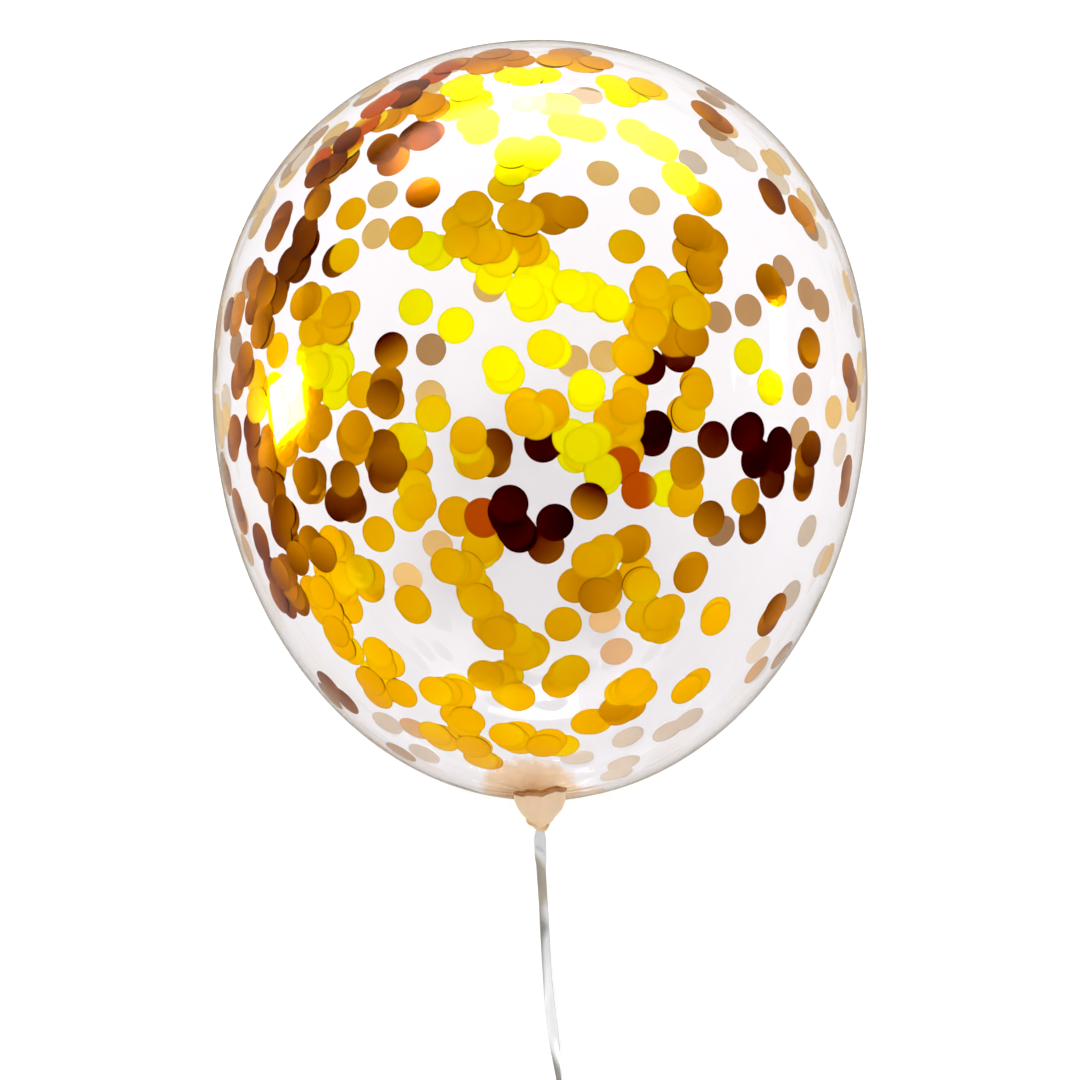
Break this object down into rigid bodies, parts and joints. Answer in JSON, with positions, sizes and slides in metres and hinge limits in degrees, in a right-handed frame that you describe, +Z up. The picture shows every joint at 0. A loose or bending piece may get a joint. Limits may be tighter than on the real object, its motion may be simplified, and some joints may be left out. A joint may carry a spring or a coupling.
{
  "type": "confetti balloon",
  "caption": "Inflated clear latex balloon with gold foil confetti clinging inside, knotted, tied with a pale curling ribbon, lying on its side",
  "frame": {"origin": "centre of the balloon's footprint, on the floor that it lies on, measured without the ribbon", "axes": "+Y along the balloon's long axis from the tied neck to the crown, +Z up, +X to the right of someone who looks down with the crown away from them"},
  "size_m": [0.28, 0.5203, 0.2785],
  "materials": {
    "latex_clear": "thin, glossy, see-through film that turns tan and cloudy towards the neck",
    "ribbon_silver": "pale silvery curling ribbon with fine ribs along its length",
    "foil_gold": "mirror-like gold metallised film, cut into round discs"
  },
  "bodies": {
    "root": {"balloon": "latex_clear", "ribbon_tie": "ribbon_silver", "ribbon": "ribbon_silver", "ribbon_coil": "ribbon_silver"}
  },
  "joints": []
}
